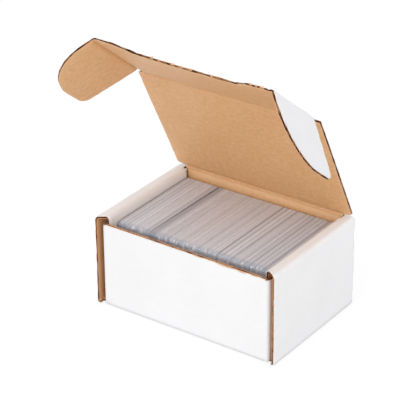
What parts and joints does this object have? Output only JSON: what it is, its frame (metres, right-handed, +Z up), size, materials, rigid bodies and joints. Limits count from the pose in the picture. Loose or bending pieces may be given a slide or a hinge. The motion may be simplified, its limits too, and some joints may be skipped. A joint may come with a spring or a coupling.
{
  "type": "card storage box",
  "caption": "Corrugated card box with rolled sides, a lid hinged at the back, a front tuck flap with two folding ears, and a row of upright cards.",
  "frame": {"origin": "centre of the base's underside", "axes": "+X to the right seen from the front, +Y to the back, +Z up"},
  "size_m": [0.2197, 0.1177, 0.2183],
  "materials": {
    "white_board": "matte white liner",
    "card_stock": "cut card edges"
  },
  "bodies": {
    "box": {"back_bottom_fold": "white_board", "back_left_corner_flap": "white_board", "back_left_fold": "white_board", "back_right_corner_flap": "white_board", "back_right_fold": "white_board", "back_wall": "white_board", "base_panel": "white_board", "card_pack_01": "card_stock", "card_pack_02": "card_stock", "card_pack_03": "card_stock", "card_pack_04": "card_stock", "card_pack_05": "card_stock", "card_pack_06": "card_stock", "card_pack_07": "card_stock", "card_pack_08": "card_stock", "card_pack_09": "card_stock", "card_pack_10": "card_stock", "card_pack_11": "card_stock", "card_pack_12": "card_stock", "card_pack_13": "card_stock", "card_pack_14": "card_stock", "card_pack_15": "card_stock", "front_bottom_fold": "white_board", "front_left_corner_flap": "white_board", "front_left_fold": "white_board", "front_right_corner_flap": "white_board", "front_right_fold": "white_board", "front_wall": "white_board", "left_bottom_fold": "white_board", "left_inner_top_fold": "white_board", "left_inner_wall": "white_board", "left_outer_top_fold": "white_board", "left_outer_wall": "white_board", "left_top_strip": "white_board", "lid_crease": "white_board", "right_bottom_fold": "white_board", "right_inner_top_fold": "white_board", "right_inner_wall": "white_board", "right_outer_top_fold": "white_board", "right_outer_wall": "white_board", "right_top_strip": "white_board"},
    "lid": {"lid_panel": "white_board", "tuck_crease": "white_board"},
    "tuck": {"tuck_flap": "white_board", "left_ear_crease": "white_board", "right_ear_crease": "white_board"},
    "left_ear": {"left_ear": "white_board"},
    "right_ear": {"right_ear": "white_board"}
  },
  "joints": [
    {"name": "lid_hinge", "type": "hinge", "parent": "box", "child": "lid", "pos_m": [0, 0.05175, 0.07555], "axis": [-1, 0, 0], "range_deg": [-63, 117]},
    {"name": "tuck_fold", "type": "hinge", "parent": "lid", "child": "tuck", "pos_m": [0, 0.00304, 0.17116], "axis": [1, 0, 0], "range_deg": [-24.7, 65.3]},
    {"name": "left_ear_fold", "type": "hinge", "parent": "tuck", "child": "left_ear", "pos_m": [-0.07595, 0.00304, 0.17116], "axis": [0, -0.7848, 0.6198], "range_deg": [-46, 44]},
    {"name": "right_ear_fold", "type": "hinge", "parent": "tuck", "child": "right_ear", "pos_m": [0.07595, 0.00304, 0.17116], "axis": [0, 0.7848, -0.6198], "range_deg": [-51, 39]}
  ]
}
